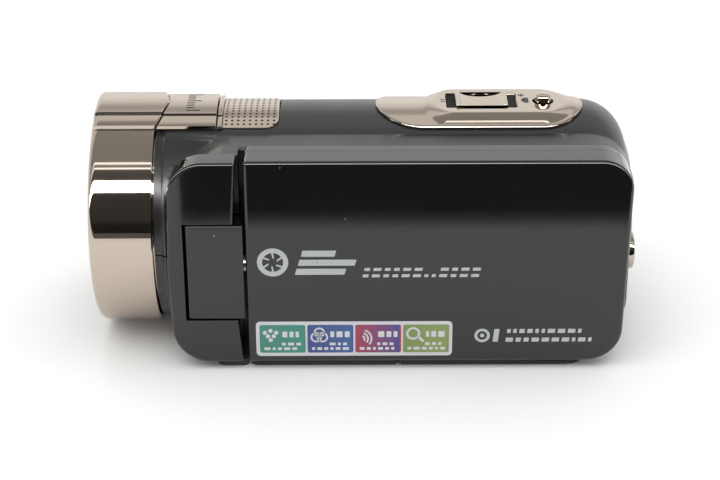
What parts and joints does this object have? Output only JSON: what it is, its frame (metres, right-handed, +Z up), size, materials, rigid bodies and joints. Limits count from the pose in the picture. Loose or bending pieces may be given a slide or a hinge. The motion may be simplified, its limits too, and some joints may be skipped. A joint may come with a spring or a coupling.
{
  "type": "camcorder",
  "caption": "Handheld video camera with a round body, dark plated lens ring, gloss side-opening display lid, raised top control panel and a padded hand strap.",
  "frame": {"origin": "bottom centre of the whole object, where its base stands on a table", "axes": "+Z up, the lens looks along -X, the display lid is on the -Y side and the hand strap on the +Y side"},
  "size_m": [0.1252, 0.066, 0.0563],
  "materials": {
    "satin_case": "satin black moulded plastic",
    "gloss_cover": "high-gloss piano-black moulded plastic",
    "black_nickel": "moulded plastic, vacuum plated with dark nickel, mirror bright",
    "key_plastic": "satin dark grey plastic with printed pictograms",
    "barrel_black": "matte black",
    "optical_glass": "clear coated glass",
    "display": "gloss dark display",
    "display_frame": "white moulded backlight frame",
    "soft_base": "matte black soft-touch",
    "circuit_board": "green solder mask",
    "steel_parts": "plain steel",
    "switch_black": "black moulded switch body",
    "brass_parts": "plain brass",
    "lamp_body": "yellow phosphor over clear resin",
    "battery_wrap": "dark grey wrapped cell",
    "strap_webbing": "black woven nylon",
    "strap_cushion": "black padded textile"
  },
  "bodies": {
    "camera_body": {"case_top": "satin_case", "case_bottom": "satin_case", "bay_panel": "satin_case", "front_bezel": "satin_case", "strap_lug_front": "satin_case", "strap_lug_rear": "satin_case", "cheek_cover": "gloss_cover", "lens_ring": "black_nickel", "brow_plate": "black_nickel", "mic_grille": "black_nickel", "control_panel": "black_nickel", "lens_barrel": "barrel_black", "front_lens": "optical_glass", "rear_lens": "optical_glass", "ir_filter": "optical_glass", "lamp_window": "optical_glass", "image_sensor": "display", "front_foot": "soft_base", "base_plate": "soft_base", "main_board": "circuit_board", "key_board": "circuit_board", "rear_board": "circuit_board", "sensor_board": "circuit_board", "hinge_pin": "steel_parts", "case_screw_1": "steel_parts", "case_screw_2": "steel_parts", "case_screw_3": "steel_parts", "case_screw_4": "steel_parts", "usb_socket": "steel_parts", "hdmi_socket": "steel_parts", "card_socket": "steel_parts", "speaker": "steel_parts", "microphone_left": "steel_parts", "microphone_right": "steel_parts", "record_switch": "switch_black", "photo_switch": "switch_black", "zoom_switch": "switch_black", "tripod_bush": "brass_parts", "battery_contacts": "brass_parts", "lamp_led": "lamp_body", "battery_pack": "battery_wrap", "strap_band": "strap_webbing", "strap_pad": "strap_cushion"},
    "lid": {"lcd_back": "gloss_cover", "lcd_bezel": "gloss_cover", "lcd_window": "optical_glass", "lcd_panel": "display", "lcd_backlight": "display_frame", "hinge_cover": "gloss_cover", "hinge_bracket": "steel_parts", "swivel_shaft": "steel_parts"},
    "zoom_lever_part": {"zoom_lever": "black_nickel"},
    "photo_button_part": {"photo_button": "black_nickel"},
    "record_button_part": {"record_button": "black_nickel"},
    "power_button_part": {"power_button": "key_plastic"},
    "play_button_part": {"play_button": "key_plastic"},
    "menu_button_part": {"menu_button": "key_plastic"},
    "lamp_button_part": {"lamp_button": "key_plastic"},
    "port_cover_part": {"port_cover": "soft_base"},
    "battery_door_part": {"battery_door": "soft_base"}
  },
  "joints": [
    {"name": "lid_open", "type": "hinge", "parent": "camera_body", "child": "lid", "pos_m": [-0.0382, -0.0304, 0.0248], "axis": [0, 0, -1], "range_deg": [0, 90]},
    {"name": "zoom_slide", "type": "slide", "parent": "camera_body", "child": "zoom_lever_part", "axis": [1, 0, 0], "range_m": [-0.0018, 0.0018], "stiffness_N_per_m": 250},
    {"name": "photo_button_press", "type": "slide", "parent": "camera_body", "child": "photo_button_part", "axis": [0, 0, -1], "range_m": [0, 0.0005], "stiffness_N_per_m": 700},
    {"name": "record_button_press", "type": "slide", "parent": "camera_body", "child": "record_button_part", "axis": [-1, 0, 0], "range_m": [0, 0.0009], "stiffness_N_per_m": 600},
    {"name": "power_button_press", "type": "slide", "parent": "camera_body", "child": "power_button_part", "axis": [0, 1, 0], "range_m": [0, 0.0006], "stiffness_N_per_m": 600},
    {"name": "play_button_press", "type": "slide", "parent": "camera_body", "child": "play_button_part", "axis": [0, 1, 0], "range_m": [0, 0.0006], "stiffness_N_per_m": 600},
    {"name": "menu_button_press", "type": "slide", "parent": "camera_body", "child": "menu_button_part", "axis": [0, 1, 0], "range_m": [0, 0.0006], "stiffness_N_per_m": 600},
    {"name": "lamp_button_press", "type": "slide", "parent": "camera_body", "child": "lamp_button_part", "axis": [0, 1, 0], "range_m": [0, 0.0006], "stiffness_N_per_m": 600},
    {"name": "port_cover_open", "type": "hinge", "parent": "camera_body", "child": "port_cover_part", "pos_m": [0.0611, 0.0025, 0.0298], "axis": [0, 1, 0], "range_deg": [0, 110]},
    {"name": "battery_door_slide", "type": "slide", "parent": "camera_body", "child": "battery_door_part", "axis": [1, 0, 0], "range_m": [0, 0.018]}
  ]
}
